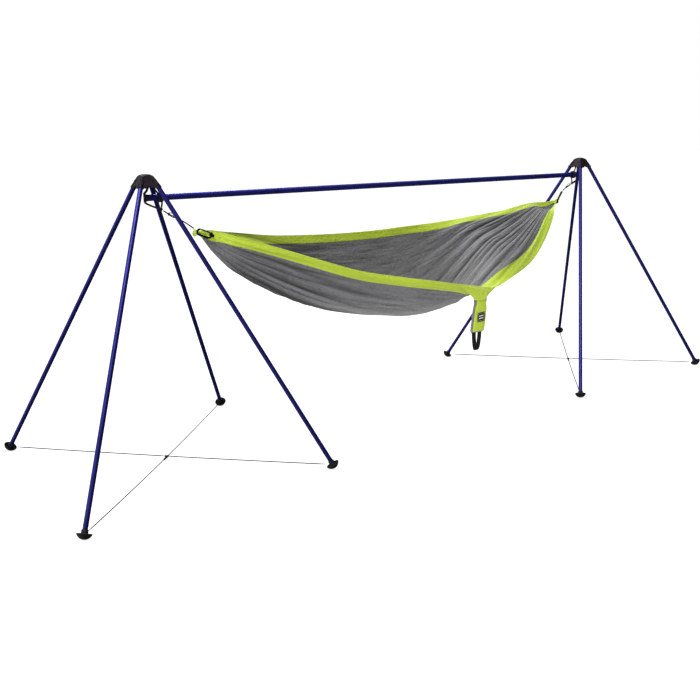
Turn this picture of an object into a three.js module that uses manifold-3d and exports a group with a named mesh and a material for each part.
// Portable hammock stand: two four-legged pods, a three-piece ridge bar slung between them,
// and a gathered-end cloth hammock with a storage sack. Millimetres, +Z up, +X along the ridge bar.
// The origin is on the floor, midway between the pods. Every side is s = -1 (left) or +1 (right),
// and inboard distances u are counted from a pod's own axis towards the middle of the stand.
import * as THREE from 'three';
import { mergeVertices } from 'three/addons/utils/BufferGeometryUtils.js';
import Module from 'manifold-3d';

const wasm = await Module();
wasm.setup();

// ---- Driving dimensions -------------------------------------------------------------------------
const SPAN = 2990; // pod axis to pod axis
const GAP = 0.4; // running gap between neighbouring pieces

const LEG_LEAN = THREE.MathUtils.degToRad(31); // open leg, from vertical
const LEG_RADIUS = 11;
const LEG_WALL = 1.5;
const HINGE_HEIGHT = 1352;
const HINGE_RADIUS = 43; // hinge axes lie this far from the pod's axis
const LEG_SPLICE = 790; // hinge to the joint between the two leg sections
const SPLICE_OVERLAP = 60;
const TIP_SHOULDER = 22; // hinge to the upper tube's end
const TIP_SHOULDER_THICKNESS = 3;
const TRUNNION_RADIUS = 4;
const TRUNNION_HALF = 10.5;
const TIP_PLUG_LENGTH = 38; // how far the leg's end piece reaches into the tube
const LUG_WIDTH = 12;
const LUG_RADIUS = 10;

const FOOT_RADIUS = 34; // outside of the bowl-shaped foot
const FOOT_WALL = 3.5;
const FOOT_PAD_CUT = 0.8; // flat ground on the bowl where it meets the floor
const FOOT_SOCKET_TOP = 6;
const FOOT_SOCKET_FLOOR = -18;

const HUB_RISE = 33; // hinge axes to the crown
const HUB_SHOULDER = 23; // hinge axes to the top of the sloping sides
const HUB_DROP = 30; // hinge axes to the lower edge
const HUB_TOP_DIAGONAL = 38; // half diagonals of the pyramid
const HUB_BOTTOM_DIAGONAL = 76;
const SOCKET_TOP_RADIUS = 7.5;
const SOCKET_BOTTOM_RADIUS = 15;
const ARCH_RADIUS = 24; // scallops in the lower edge, between the sockets
const ARCH_DROP = 12; // lower edge down to the arches' centres
const SLING_LUG_RADIUS = 7;
const SLING_POCKET = { length: 42, width: 22, height: 40, above: 6 }; // room round the sling's eye
const FOLD_RANGE = THREE.MathUtils.degToRad(29.5);

const BAR_HEIGHT = 1277;
const BAR_RADIUS = 15;
const BAR_WALL = 2;
const BAR_SPLICE = 498; // middle of the stand to each bar joint
const BAR_OVERLAP = 70;
const CAP_RIM_RADIUS = 17;
const CAP_RIM_THICKNESS = 6;
const CAP_PLUG_LENGTH = 25;

const SLING_RADIUS = 3;
const SLING_EYE_U = 22; // the lug inside the hub that the sling passes through
const SLING_EYE_HEIGHT = 1338;
const WRAP_U = 62; // middle of the rope turns round the bar
const WRAP_WIDTH = 22;
const WRAP_RADIUS = 21;
const KNOT = { u: 65, z: 1222, radius: 7 };

const SPREAD_CORD_RADIUS = 1.75;
const SPREAD_CORD_END_Z = 20;
const CLIP_LENGTH = 50;
const CLIP_RADIUS = 5;
const CLIP_CROSS_LENGTH = 14;
const CLIP_CROSS_RADIUS = 4.3;
const CORD_LOW_Z = 8; // heights of the two cords where they cross
const CORD_HIGH_Z = 15.5;

const LINE_RADIUS = 2.5;
const ADJUSTER_RADIUS = 7;
const CLOTH_THICKNESS = 5;
const BAND_WIDTH = 48;
const BAND_SHARE = 0.3; // of the cloth's width, where the ends are gathered

const SACK = { x: 290, y: -344, top: 640, height: 190, width: 98, depth: 34, waist: 50, corner: 10 };
const STRAP = { offset: -12, height: 104, topHalf: 38, bottomHalf: 18, thickness: 4, corner: 8 };
const SLIT = { top: 10, bottom: 66, topHalf: 9, bottomHalf: 5 }; // depths below the strap's top edge

const CARABINER = { halfLength: 35.5, halfWidth: 16.5, wire: 3.5 };
const GATE = { radius: 3, bottom: -20.5, top: 23, inset: 1.5 }; // in the carabiner's own frame

const GATHER_LOOP = { radius: 10, thickness: 4.4 };

// ---- Materials ----------------------------------------------------------------------------------
function finish(color, roughness, metalness) {
  return new THREE.MeshStandardMaterial({ color, roughness, metalness });
}
const anodised = finish(0x2c2c90, 0.32, 0.85);
const barAnodised = finish(0x2e2f96, 0.3, 0.85);
const moulded = finish(0x1d191e, 0.6, 0.0);
const rope = finish(0x141416, 0.85, 0.0);
const darkMetal = finish(0x1a1a1c, 0.35, 0.8);
const greyNylon = finish(0x7c7c7e, 0.7, 0.0);
const limeNylon = finish(0xc2d63c, 0.7, 0.0);
const webbing = finish(0x1a1a1b, 0.85, 0.0);

// ---- Solids: booleans and sweeps ----------------------------------------------------------------
const group = new THREE.Group();

function solid(geometry) {
  const bare = geometry.clone();
  bare.deleteAttribute('normal');
  bare.deleteAttribute('uv');
  const merged = mergeVertices(bare, 1e-3);
  return new wasm.Manifold(new wasm.Mesh({
    numProp: 3,
    vertProperties: new Float32Array(merged.attributes.position.array),
    triVerts: new Uint32Array(merged.index.array),
  }));
}

function geometryOf(manifold) {
  const mesh = manifold.getMesh();
  const geometry = new THREE.BufferGeometry();
  geometry.setAttribute('position', new THREE.BufferAttribute(mesh.vertProperties, 3));
  geometry.setIndex(new THREE.BufferAttribute(mesh.triVerts, 1));
  return geometry;
}

function union(geometries) {
  return geometries.map(solid).reduce((all, next) => all.add(next));
}

function cut(manifold, geometries) {
  return geometries.map(solid).reduce((rest, tool) => rest.subtract(tool), manifold);
}

function addMesh(name, geometry, material, parent = group) {
  const mesh = new THREE.Mesh(geometry, material);
  mesh.name = name;
  parent.add(mesh);
  return mesh;
}

// A profile of [radius, z] points turned about Z.
function turned(points, segments) {
  const outline = points.map(([r, z]) => new THREE.Vector2(r, z));
  const lathe = new THREE.LatheGeometry(outline, segments);
  lathe.rotateX(Math.PI / 2);
  return lathe;
}

// A cylinder along Z, from z0 up to z1.
function rod(radius, z0, z1, segments = 20, topRadius = radius) {
  const cylinder = new THREE.CylinderGeometry(topRadius, radius, z1 - z0, segments);
  cylinder.rotateX(Math.PI / 2);
  cylinder.translate(0, 0, (z0 + z1) / 2);
  return cylinder;
}

// A round bar swept along a smooth curve through the points.
function sweep(points, radius, steps, sides = 8) {
  const section = new THREE.Shape();
  section.absarc(0, 0, radius, 0, 2 * Math.PI);
  return new THREE.ExtrudeGeometry(section, {
    steps,
    curveSegments: sides / 2,
    bevelEnabled: false,
    extrudePath: new THREE.CatmullRomCurve3(points, false, 'centripetal'),
  });
}

function ball(radius, centre) {
  const sphere = new THREE.SphereGeometry(radius, 12, 8);
  sphere.translate(centre.x, centre.y, centre.z);
  return sphere;
}

// The point u inboard of a pod's axis, on side s.
function inboard(s, u, y, z) {
  return new THREE.Vector3(s * (SPAN / 2 - u), y, z);
}

// ---- Legs: the same four pieces eight times -----------------------------------------------------
// In a leg's own frame the hinge axis is Y through the origin and the leg runs down -Z.
const footDistance = (HINGE_HEIGHT - FOOT_RADIUS + FOOT_PAD_CUT) / Math.cos(LEG_LEAN);
const footReach = HINGE_RADIUS + footDistance * Math.sin(LEG_LEAN);
const legEnd = footDistance - FOOT_SOCKET_FLOOR - GAP;

function legTip() {
  const lug = new THREE.CylinderGeometry(LUG_RADIUS, LUG_RADIUS, LUG_WIDTH, 16);
  const trunnions = new THREE.CylinderGeometry(TRUNNION_RADIUS, TRUNNION_RADIUS, 2 * TRUNNION_HALF, 8);
  const neckLength = TIP_SHOULDER - TIP_SHOULDER_THICKNESS + 1;
  const neck = new THREE.BoxGeometry(2 * LUG_RADIUS, LUG_WIDTH, neckLength);
  neck.translate(0, 0, -neckLength / 2);
  const shoulder = rod(LEG_RADIUS, -TIP_SHOULDER + GAP, -TIP_SHOULDER + TIP_SHOULDER_THICKNESS, 16);
  const plug = rod(LEG_RADIUS - LEG_WALL - GAP, -TIP_SHOULDER - TIP_PLUG_LENGTH, 1 - TIP_SHOULDER, 16);
  return geometryOf(union([lug, trunnions, neck, shoulder, plug]));
}

function legUpper() {
  const inner = LEG_RADIUS - LEG_WALL;
  return turned([
    [inner, -LEG_SPLICE], [LEG_RADIUS, -LEG_SPLICE],
    [LEG_RADIUS, -TIP_SHOULDER], [inner, -TIP_SHOULDER], [inner, -LEG_SPLICE],
  ], 16);
}

// The lower section's top is swaged down to slide into the upper one.
function legLower() {
  const inner = LEG_RADIUS - LEG_WALL;
  const spigot = inner - GAP;
  const bore = spigot - LEG_WALL;
  const top = -LEG_SPLICE + SPLICE_OVERLAP;
  return turned([
    [inner, -legEnd], [LEG_RADIUS, -legEnd],
    [LEG_RADIUS, -LEG_SPLICE - GAP], [spigot, -LEG_SPLICE - GAP],
    [spigot, top], [bore, top],
    [bore, -LEG_SPLICE - 8], [inner, -LEG_SPLICE - 12], [inner, -legEnd],
  ], 16);
}

// A shallow bowl with a socket for the leg, ground flat where it stands.
function foot() {
  const rimAngle = THREE.MathUtils.degToRad(70);
  const innerRadius = FOOT_RADIUS - FOOT_WALL;
  const socketOuter = LEG_RADIUS + FOOT_WALL;
  const socketBore = LEG_RADIUS + GAP;
  const innerStart = Math.asin(socketOuter / innerRadius);
  const points = [];
  const arc = (radius, from, to, count) => {
    for (let i = 0; i <= count; i++) {
      const angle = from + (to - from) * i / count;
      points.push([radius * Math.sin(angle), -radius * Math.cos(angle)]);
    }
  };
  arc(FOOT_RADIUS, 0, rimAngle, 4);
  arc(innerRadius, rimAngle, innerStart, 2);
  points.push([socketOuter, FOOT_SOCKET_TOP], [socketBore, FOOT_SOCKET_TOP]);
  points.push([socketBore, FOOT_SOCKET_FLOOR], [0, FOOT_SOCKET_FLOOR]);
  const bowl = turned(points, 12);
  bowl.translate(0, 0, -footDistance);
  const floor = new THREE.BoxGeometry(4 * FOOT_RADIUS, 4 * FOOT_RADIUS, FOOT_RADIUS);
  floor.translate(footReach - HINGE_RADIUS, 0, -HINGE_HEIGHT - FOOT_RADIUS / 2);
  floor.rotateY(LEG_LEAN);
  return geometryOf(cut(solid(bowl), [floor]));
}

const legPieces = {
  leg_tip: [legTip(), moulded],
  leg_upper: [legUpper(), anodised],
  leg_lower: [legLower(), anodised],
  foot: [foot(), moulded],
};

const corners = [
  { name: 'outer_front', outward: 1, y: -1 },
  { name: 'outer_back', outward: 1, y: 1 },
  { name: 'inner_front', outward: -1, y: -1 },
  { name: 'inner_back', outward: -1, y: 1 },
];
const sides = [{ name: 'left', s: -1 }, { name: 'right', s: 1 }];

function placeLeg(side, corner) {
  const angle = Math.atan2(corner.y, corner.outward * side.s);
  const leg = new THREE.Group();
  leg.position.set(
    side.s * SPAN / 2 + HINGE_RADIUS * Math.cos(angle),
    HINGE_RADIUS * Math.sin(angle),
    HINGE_HEIGHT,
  );
  leg.rotation.set(0, -LEG_LEAN, angle, 'ZYX');
  for (const [piece, [geometry, material]] of Object.entries(legPieces)) {
    addMesh(`${side.name}_${corner.name}_${piece}`, geometry, material, leg);
  }
  group.add(leg);
}

// ---- Hubs ---------------------------------------------------------------------------------------
// The room that a straight piece of half-width w, from start to end below its hinge, sweeps as the
// leg folds from its open lean to nearly upright.
function foldSlot(w, start, end, halfDepth = w) {
  const at = (lean, along, aside) => new THREE.Vector2(
    along * Math.sin(lean) + aside * Math.cos(lean),
    -along * Math.cos(lean) + aside * Math.sin(lean),
  );
  const folded = LEG_LEAN - FOLD_RANGE;
  const outline = new THREE.Shape([
    at(folded, start, -w), at(folded, end, -w), at(LEG_LEAN, end, w), at(LEG_LEAN, start, w),
    at(LEG_LEAN, start, 0), at(LEG_LEAN - FOLD_RANGE / 2, start, 0), at(folded, start, 0),
  ]);
  const slot = new THREE.ExtrudeGeometry(outline, { depth: 2 * halfDepth, bevelEnabled: false });
  slot.translate(0, 0, -halfDepth);
  slot.rotateX(Math.PI / 2);
  return slot;
}

// In the hub's own frame the hinge axes lie in the plane z = 0.
function hub(s) {
  const height = HUB_RISE + HUB_DROP;
  const slope = (HUB_BOTTOM_DIAGONAL - HUB_TOP_DIAGONAL) / (HUB_SHOULDER + HUB_DROP);
  const crownDiagonal = HUB_TOP_DIAGONAL - slope * (HUB_RISE - HUB_SHOULDER);
  const pyramid = new THREE.CylinderGeometry(crownDiagonal, HUB_BOTTOM_DIAGONAL, height, 4);
  pyramid.rotateX(Math.PI / 2);
  pyramid.rotateZ(Math.PI / 4);
  pyramid.translate(0, 0, (HUB_RISE - HUB_DROP) / 2);

  const crownRise = HUB_RISE - HUB_SHOULDER;
  const crownRadius = (HUB_TOP_DIAGONAL ** 2 + crownRise ** 2) / (2 * crownRise);
  const crownSkirt = 1.3 * HUB_BOTTOM_DIAGONAL;
  const crownSteps = 4;
  const crown = [[0, -2 * HUB_DROP], [crownSkirt, -2 * HUB_DROP], [crownSkirt, 0]];
  for (let i = crownSteps; i >= 0; i--) {
    const r = HUB_TOP_DIAGONAL * 1.25 * i / crownSteps;
    crown.push([r, HUB_RISE - crownRadius + Math.sqrt(crownRadius ** 2 - r ** 2)]);
  }
  const sockets = [];
  const hollows = [];
  for (let i = 0; i < 4; i++) {
    const turn = Math.PI / 4 + i * Math.PI / 2;
    const place = (tool) => {
      tool.translate(HINGE_RADIUS, 0, 0);
      tool.rotateZ(turn);
      return tool;
    };
    const above = HUB_SHOULDER / Math.cos(LEG_LEAN);
    const below = HUB_DROP / Math.cos(LEG_LEAN) + 1;
    const socket = rod(SOCKET_BOTTOM_RADIUS, -below, above, 12, SOCKET_TOP_RADIUS);
    socket.rotateY(-LEG_LEAN);
    sockets.push(place(socket));
    hollows.push(place(new THREE.CylinderGeometry(
      LUG_RADIUS + 1, LUG_RADIUS + 1, LUG_WIDTH + 2 * GAP, 12)));
    hollows.push(place(new THREE.CylinderGeometry(
      TRUNNION_RADIUS + GAP, TRUNNION_RADIUS + GAP, 3 * TRUNNION_HALF, 8)));
    const shoulderTop = TIP_SHOULDER - TIP_SHOULDER_THICKNESS;
    hollows.push(place(foldSlot(LEG_RADIUS + 1.5 * GAP, shoulderTop - GAP, 4 * HUB_DROP)));
    hollows.push(place(foldSlot(LUG_RADIUS + GAP, 0, 2 * shoulderTop, LUG_WIDTH / 2 + GAP)));
  }
  const arches = [0, Math.PI / 2].map((turn) => {
    const arch = new THREE.CylinderGeometry(ARCH_RADIUS, ARCH_RADIUS, 4 * HUB_BOTTOM_DIAGONAL, 16);
    arch.rotateZ(Math.PI / 2);
    arch.translate(0, 0, -HUB_DROP - ARCH_DROP);
    arch.rotateZ(turn);
    return arch;
  });
  const eyeX = -s * SLING_EYE_U;
  const eyeZ = SLING_EYE_HEIGHT - HINGE_HEIGHT;
  const room = SLING_POCKET;
  const pocket = new THREE.BoxGeometry(room.length, room.width, room.height);
  pocket.translate(eyeX, 0, eyeZ + room.above - room.height / 2);
  const skin = union([pyramid, ...sockets]).intersect(solid(turned(crown, 16)));
  const shell = cut(cut(skin, arches), [...hollows, pocket]);
  const lug = rod(SLING_LUG_RADIUS, eyeZ - 3 * SLING_RADIUS, HUB_RISE / 4, 12);
  lug.translate(eyeX, 0, 0);
  const eyeRadius = SLING_RADIUS + 2 * GAP;
  const eye = new THREE.CylinderGeometry(eyeRadius, eyeRadius, room.length, 10);
  eye.rotateZ(Math.PI / 2);
  eye.translate(eyeX, 0, eyeZ);
  return geometryOf(cut(shell.add(solid(lug)), [eye]));
}

// ---- Ridge bar ----------------------------------------------------------------------------------
function alongX(geometry, x, z) {
  geometry.rotateY(Math.PI / 2);
  geometry.translate(x, 0, z);
  return geometry;
}

function barMiddle() {
  const inner = BAR_RADIUS - BAR_WALL;
  const spigot = inner - GAP;
  const bore = spigot - BAR_WALL;
  const end = BAR_SPLICE + BAR_OVERLAP;
  return alongX(turned([
    [bore, -end], [spigot, -end], [spigot, -BAR_SPLICE], [BAR_RADIUS, -BAR_SPLICE],
    [BAR_RADIUS, BAR_SPLICE], [spigot, BAR_SPLICE], [spigot, end], [bore, end], [bore, -end],
  ], 24), 0, BAR_HEIGHT);
}

function barEnd(s) {
  const inner = BAR_RADIUS - BAR_WALL;
  const half = (SPAN / 2 - BAR_SPLICE - GAP) / 2;
  const tube = turned([
    [inner, -half], [BAR_RADIUS, -half], [BAR_RADIUS, half], [inner, half], [inner, -half],
  ], 24);
  return alongX(tube, s * (BAR_SPLICE + GAP + half), BAR_HEIGHT);
}

function barCap(s) {
  const rim = rod(CAP_RIM_RADIUS, GAP, GAP + CAP_RIM_THICKNESS, 28);
  const plug = rod(BAR_RADIUS - BAR_WALL - GAP, -CAP_PLUG_LENGTH, GAP + 1, 24);
  const cap = geometryOf(union([rim, plug]));
  cap.rotateY(s * Math.PI / 2);
  cap.translate(s * SPAN / 2, 0, BAR_HEIGHT);
  return cap;
}

// ---- Slings: one rope from each hub, over the bar's end, and tied off in a knot -----------------
function sling(s) {
  const strand = [
    [WRAP_U - 4, BAR_HEIGHT + 18.5], [50, 1301], [43, 1310], [39, 1322], [36, 1333],
    [31, SLING_EYE_HEIGHT], [SLING_EYE_U, SLING_EYE_HEIGHT], [13, SLING_EYE_HEIGHT], [9, 1333],
    [7, 1324], [3, 1312], [-4, 1303.5], [-9.8, 1297.5], [-10.6, 1288], [-10.6, 1277],
    [-10.6, 1266], [-9.8, 1257], [-3, 1251], [10, 1244], [28, 1236], [46, 1229], [KNOT.u, KNOT.z],
  ].map(([u, z]) => inboard(s, u, 0, z));
  const tail = [
    [WRAP_U, BAR_HEIGHT - 18.5], [WRAP_U + 2, 1246], [WRAP_U + 3, 1234], [KNOT.u, KNOT.z],
  ].map(([u, z]) => inboard(s, u, 0, z));
  const bore = BAR_RADIUS + GAP;
  const half = WRAP_WIDTH / 2;
  const turns = alongX(turned([
    [bore, -half], [WRAP_RADIUS, -half], [WRAP_RADIUS, half], [bore, half], [bore, -half],
  ], 20), s * (SPAN / 2 - WRAP_U), BAR_HEIGHT);
  return geometryOf(union([
    sweep(strand, SLING_RADIUS, 34),
    sweep(tail, SLING_RADIUS, 6),
    turns,
    ball(KNOT.radius, inboard(s, KNOT.u, 0, KNOT.z)),
  ]));
}

// ---- Spread cords: they tie opposite feet together just above the floor -------------------------
const cordReach = footReach - FOOT_RADIUS + 1.4;

function spreadCord(s, sign, middleZ) {
  const stations = [-1, -0.6, -0.25, 0, 0.25, 0.6, 1];
  const points = stations.map((t) => {
    const along = t * cordReach / Math.SQRT2;
    const z = middleZ + (SPREAD_CORD_END_Z - middleZ) * t * t;
    return new THREE.Vector3(s * SPAN / 2 + along, sign * along, z);
  });
  return sweep(points, SPREAD_CORD_RADIUS, 12);
}

function cordClip(s) {
  const sleeve = (radius, length, direction, z) => {
    const tube = new THREE.CylinderGeometry(radius, radius, length, 16);
    tube.rotateZ(direction * Math.PI / 4);
    tube.translate(s * SPAN / 2, 0, z);
    return tube;
  };
  const bore = SPREAD_CORD_RADIUS + 1.5 * GAP;
  const body = union([
    sleeve(CLIP_RADIUS, CLIP_LENGTH, -1, CORD_LOW_Z),
    sleeve(CLIP_CROSS_RADIUS, CLIP_CROSS_LENGTH, 1, CORD_HIGH_Z),
  ]);
  return geometryOf(cut(body, [
    sleeve(bore, 2 * CLIP_LENGTH, -1, CORD_LOW_Z),
    sleeve(bore, 2 * CLIP_LENGTH, 1, CORD_HIGH_Z),
  ]));
}

// ---- Hammock cloth ------------------------------------------------------------------------------
// Three lines carry the shape: the front and back hems and the keel between them.
const frontHem = [
  [-1240, -12, 1108], [-1190, -22, 1106], [-1100, -90, 1080], [-950, -165, 1030],
  [-750, -240, 958], [-500, -296, 874], [-250, -330, 820], [0, -345, 770], [150, -345, 735],
  [290, -340, 690], [400, -332, 686], [600, -296, 730], [800, -245, 790], [1000, -175, 912],
  [1150, -100, 1037], [1250, -28, 1105], [1280, -12, 1120],
];
const backHem = [
  [-1240, 12, 1108], [-1190, 24, 1106], [-1100, 80, 1089], [-950, 145, 1064], [-750, 205, 1032],
  [-500, 248, 1010], [-250, 270, 998], [0, 278, 995], [250, 274, 1003], [500, 255, 1012],
  [750, 210, 1034], [950, 152, 1062], [1150, 82, 1104], [1250, 26, 1114], [1280, 12, 1120],
];
const keel = [
  [-1240, 0, 1078], [-1190, -4, 1005], [-1100, -12, 914], [-950, -20, 820], [-750, -28, 710],
  [-500, -34, 620], [-250, -36, 570], [0, -36, 538], [250, -34, 552], [500, -30, 600],
  [750, -24, 700], [950, -16, 830], [1150, -8, 1000], [1250, -2, 1072], [1280, 0, 1090],
];
const LENGTH_STATIONS = 30;
const HEM_ROWS = 2;
const SEAM = 3; // gap between a band and the body
const BODY_ROWS = 12;
const WALL_SAMPLES = 24; // points up each wall of a cross-section
const SLOPE = { from: 200, full: 700, fade: 1120, end: 1250, droop: 0.47, droopShare: 0.3 };

function lineThrough(points) {
  return new THREE.CatmullRomCurve3(points.map((p) => new THREE.Vector3(...p)), false, 'centripetal');
}

// The point of a hem or keel line at a given x.
function atX(line, x) {
  let low = 0;
  let high = 1;
  for (let i = 0; i < 30; i++) {
    const middle = (low + high) / 2;
    if (line.getPoint(middle).x < x) low = middle;
    else high = middle;
  }
  return line.getPoint((low + high) / 2);
}

// One cross-section as a fine polyline. On the left it is an elliptic wall each side of the keel.
// Right of the sack, whose weight draws the front hem down, it is a slope instead: it rises steeply
// from the front hem, lies flatter in the middle and rises again to the back hem.
function crossSection(x) {
  const front = atX(frontLine, x);
  const back = atX(backLine, x);
  const low = atX(keelLine, x);
  const { lerp, smoothstep } = THREE.MathUtils;
  const flat = smoothstep(x, -100, 500);
  const slope = smoothstep(x, SLOPE.from, SLOPE.full) * (1 - smoothstep(x, SLOPE.fade, SLOPE.end));
  const points = [];
  for (let i = -WALL_SAMPLES; i <= WALL_SAMPLES; i++) {
    const a = Math.abs(i) / WALL_SAMPLES;
    const edge = i < 0 ? front : back;
    const bow = i < 0 ? flat : 0;
    const out = lerp(Math.sin(a * Math.PI / 2), a, bow);
    const up = lerp(1 - Math.cos(a * Math.PI / 2), a ** 1.3, bow);
    const share = (1 + i / WALL_SAMPLES) / 2;
    const droop = 1 - (1 - Math.min(share / SLOPE.droopShare, 1)) ** 2;
    const rise = SLOPE.droop * droop + (1 - SLOPE.droop) * share ** 2;
    points.push(new THREE.Vector3(
      x,
      lerp(low.y + (edge.y - low.y) * out, lerp(front.y, back.y, share), slope),
      lerp(low.z + (edge.z - low.z) * up, lerp(front.z, back.z, rise), slope),
    ));
  }
  return points;
}

const frontLine = lineThrough(frontHem);
const backLine = lineThrough(backHem);
const keelLine = lineThrough(keel);

// Resamples a polyline at the given distances along it.
function resample(points, distances) {
  const lengths = [0];
  for (let i = 1; i < points.length; i++) {
    lengths.push(lengths[i - 1] + points[i].distanceTo(points[i - 1]));
  }
  return distances(lengths.at(-1)).map((d) => {
    let i = 1;
    while (i < points.length - 1 && lengths[i] < d) i++;
    const t = (d - lengths[i - 1]) / (lengths[i] - lengths[i - 1]);
    return points[i - 1].clone().lerp(points[i], t);
  });
}

// The rows of points of the whole cloth, hem to hem, and the same rows moved in by its thickness.
// A band and the body are parted by the seam gap.
function clothRows() {
  const outer = [];
  for (let i = 0; i <= LENGTH_STATIONS; i++) {
    const t = i / LENGTH_STATIONS;
    const eased = t - Math.sin(2 * Math.PI * t) / (4 * Math.PI);
    const x = THREE.MathUtils.lerp(frontHem[0][0], frontHem.at(-1)[0], eased);
    outer.push(resample(crossSection(x), (width) => {
      const band = Math.min(BAND_WIDTH, BAND_SHARE * width);
      const spread = (from, to, count) => Array.from(
        { length: count + 1 }, (_, j) => from + (to - from) * j / count);
      return [
        ...spread(0, band - SEAM, HEM_ROWS),
        ...spread(band, width - band, BODY_ROWS),
        ...spread(width - band + SEAM, width, HEM_ROWS),
      ];
    }));
  }
  const last = outer.length - 1;
  const inner = outer.map((row, i) => row.map((p, j) => {
    const along = outer[Math.min(i + 1, last)][j].clone().sub(outer[Math.max(i - 1, 0)][j]);
    const across = row[Math.min(j + 1, row.length - 1)].clone().sub(row[Math.max(j - 1, 0)]);
    return p.clone().addScaledVector(along.cross(across).normalize(), CLOTH_THICKNESS);
  }));
  return { outer, inner };
}

// One strip of the cloth, from one column to another, closed round its four edges.
function clothStrip(cloth, first, end) {
  const layers = [cloth.outer, cloth.inner].map((rows) => rows.map((row) => row.slice(first, end + 1)));
  const m = layers[0].length;
  const n = layers[0][0].length;
  const positions = layers.flat(2).flatMap((p) => p.toArray());
  const faces = [];
  const quad = (a, b, c, d) => faces.push(a, b, c, a, c, d);
  const id = (layer, i, j) => layer * m * n + i * n + j;
  for (let i = 0; i < m - 1; i++) {
    for (let j = 0; j < n - 1; j++) {
      quad(id(0, i, j), id(0, i, j + 1), id(0, i + 1, j + 1), id(0, i + 1, j));
      quad(id(1, i, j), id(1, i + 1, j), id(1, i + 1, j + 1), id(1, i, j + 1));
    }
    quad(id(0, i, 0), id(0, i + 1, 0), id(1, i + 1, 0), id(1, i, 0));
    quad(id(0, i, n - 1), id(1, i, n - 1), id(1, i + 1, n - 1), id(0, i + 1, n - 1));
  }
  for (let j = 0; j < n - 1; j++) {
    quad(id(0, 0, j), id(1, 0, j), id(1, 0, j + 1), id(0, 0, j + 1));
    quad(id(0, m - 1, j), id(0, m - 1, j + 1), id(1, m - 1, j + 1), id(1, m - 1, j));
  }
  const geometry = new THREE.BufferGeometry();
  geometry.setAttribute('position', new THREE.Float32BufferAttribute(positions, 3));
  geometry.setIndex(faces);
  return geometry;
}

// ---- Carabiners, gates and the cord loops they clip into ----------------------------------------
// In a carabiner's own frame X is its width, with the gate on +X, and Z its length, top at +Z.
const carabinerPlaces = {
  left: { top: [226, -22, 1113], tip: [297, -42, 1083], width: [0.15, -0.55, 0.82] },
  right: { top: [160, 0, 1174], tip: [207, 0, 1111], width: [0.556, 0.79, -0.25] },
};

function carabinerFrame(side) {
  const place = carabinerPlaces[side.name];
  const top = inboard(side.s, ...place.top);
  const tip = inboard(side.s, ...place.tip);
  const length = top.clone().sub(tip).normalize();
  const across = new THREE.Vector3(...place.width).projectOnPlane(length).normalize();
  const normal = length.clone().cross(across);
  const frame = new THREE.Group();
  frame.applyMatrix4(new THREE.Matrix4().makeBasis(across, normal, length));
  frame.position.copy(top.lerp(tip, 0.5));
  return frame;
}

function carabinerBody() {
  const { halfLength: h, halfWidth: w, wire } = CARABINER;
  const outline = [
    [w - 1.5, GATE.top + 3], [w - 4, h - 3.5], [2, h], [-w + 3, h - 5], [-w, h - 13], [-w, 0],
    [-w, -h + 13], [-w + 3, -h + 5], [2, -h], [w - 4, -h + 3.5], [w - 1.5, GATE.bottom - 3],
  ];
  return sweep(outline.map(([x, z]) => new THREE.Vector3(x, 0, z)), wire, 30);
}

const gatherLoopPlaces = {
  left: [2, 4, -CARABINER.halfLength],
  right: [2, 0, -CARABINER.halfLength - 4],
};

function gatherLoop() {
  const loop = new THREE.TorusGeometry(GATHER_LOOP.radius, GATHER_LOOP.thickness / 2, 6, 18);
  loop.rotateY(Math.PI / 2);
  return loop;
}

// ---- Suspension lines ---------------------------------------------------------------------------
const lineRoutes = {
  left: [
    [75, 0, 1215], [85, 0, 1208], [100, -1, 1198], [130, -5, 1181], [164, -11, 1161],
    [195, -17, 1139], [214, -20, 1124],
  ],
  right: [
    [75, 0, 1216.8], [85, 0, 1212.7], [100, 0, 1207], [116, 0, 1200], [130, 0, 1192],
    [145, 0, 1183.5], [153, 0, 1178.5],
  ],
};
const adjusters = { left: 2, right: 3 }; // the point of the route that holds the adjuster knot

function suspensionLine(side) {
  const points = lineRoutes[side.name].map(([u, y, z]) => inboard(side.s, u, y, z));
  return geometryOf(union([
    sweep(points, LINE_RADIUS, 14),
    ball(ADJUSTER_RADIUS, points[adjusters[side.name]]),
  ]));
}

// ---- Storage sack and its strap -----------------------------------------------------------------
// A flat pouch, drawn in at the waist under its gathered mouth.
function sack() {
  const half = SACK.width / 2;
  const bottom = -SACK.height;
  const { waist, corner } = SACK;
  const outline = new THREE.Shape();
  outline.moveTo(-half + 2, 0);
  outline.quadraticCurveTo(-half + corner, -waist / 2, -half + 3, -waist);
  outline.lineTo(-half, bottom + corner);
  outline.quadraticCurveTo(-half, bottom, -half + corner, bottom);
  outline.lineTo(half - corner, bottom);
  outline.quadraticCurveTo(half, bottom, half, bottom + corner);
  outline.lineTo(half - 3, -waist);
  outline.quadraticCurveTo(half - corner, -waist / 2, half - 2, 0);
  const bevel = corner / 2;
  const pouch = new THREE.ExtrudeGeometry(outline, {
    depth: SACK.depth - 2 * bevel,
    curveSegments: 4,
    bevelThickness: bevel,
    bevelSize: bevel,
    bevelOffset: -bevel,
    bevelSegments: 2,
  });
  pouch.translate(0, 0, -SACK.depth / 2 + bevel);
  pouch.rotateX(Math.PI / 2);
  pouch.translate(SACK.x, SACK.y, SACK.top);
  return pouch;
}

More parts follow.
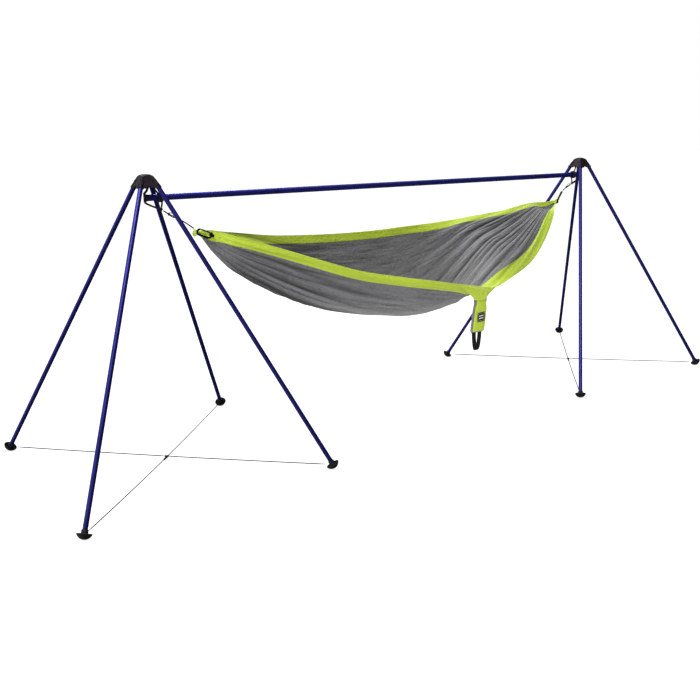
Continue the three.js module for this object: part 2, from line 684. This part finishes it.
// A webbing loop under the sack, its two legs meeting below the slit.
function sackStrap() {
  const { height, topHalf, bottomHalf, thickness, corner } = STRAP;
  const outline = new THREE.Shape();
  outline.moveTo(-topHalf, 0);
  outline.lineTo(-bottomHalf, -height + corner);
  outline.lineTo(-bottomHalf + corner, -height);
  outline.lineTo(bottomHalf - corner, -height);
  outline.lineTo(bottomHalf, -height + corner);
  outline.lineTo(topHalf, 0);
  const slit = new THREE.Path();
  slit.moveTo(-SLIT.topHalf, -SLIT.top);
  slit.lineTo(SLIT.topHalf, -SLIT.top);
  slit.lineTo(SLIT.bottomHalf, -SLIT.bottom);
  slit.lineTo(-SLIT.bottomHalf, -SLIT.bottom);
  slit.closePath();
  outline.holes.push(slit);
  const strap = new THREE.ExtrudeGeometry(outline, { depth: thickness, bevelEnabled: false });
  strap.translate(0, 0, -thickness / 2);
  strap.rotateX(Math.PI / 2);
  strap.translate(SACK.x + STRAP.offset, SACK.y, SACK.top - SACK.height - GAP);
  return strap;
}

// ---- Assembly -----------------------------------------------------------------------------------
for (const side of sides) {
  const { name, s } = side;
  const hubMesh = addMesh(`${name}_hub`, hub(s), moulded);
  hubMesh.position.set(s * SPAN / 2, 0, HINGE_HEIGHT);
  corners.forEach((corner) => placeLeg(side, corner));
  addMesh(`${name}_bar_section`, barEnd(s), barAnodised);
  addMesh(`${name}_bar_cap`, barCap(s), moulded);
  addMesh(`${name}_bar_sling`, sling(s), rope);
  addMesh(`${name}_spread_cord_a`, spreadCord(s, 1, CORD_LOW_Z), rope);
  addMesh(`${name}_spread_cord_b`, spreadCord(s, -1, CORD_HIGH_Z), rope);
  addMesh(`${name}_cord_clip`, cordClip(s), moulded);

  addMesh(`${name}_suspension_line`, suspensionLine(side), rope);
  const frame = carabinerFrame(side);
  group.add(frame);
  addMesh(`${name}_carabiner`, carabinerBody(), darkMetal, frame);
  const gateRod = rod(GATE.radius, GATE.bottom, GATE.top, 10);
  const gate = addMesh(`${name}_carabiner_gate`, gateRod, darkMetal, frame);
  gate.position.x = CARABINER.halfWidth - GATE.inset;
  const loop = addMesh(`${name}_gather_loop`, gatherLoop(), rope, frame);
  loop.position.set(...gatherLoopPlaces[name]);
}
addMesh('middle_bar_section', barMiddle(), barAnodised);
const cloth = clothRows();
const bodyStart = HEM_ROWS + 1;
const bodyEnd = bodyStart + BODY_ROWS;
addMesh('front_edge_band', clothStrip(cloth, 0, HEM_ROWS), limeNylon);
addMesh('hammock_body', clothStrip(cloth, bodyStart, bodyEnd), greyNylon);
addMesh('back_edge_band', clothStrip(cloth, bodyEnd + 1, bodyEnd + 1 + HEM_ROWS), limeNylon);
addMesh('storage_sack', sack(), limeNylon);
addMesh('sack_strap', sackStrap(), webbing);

export default group;
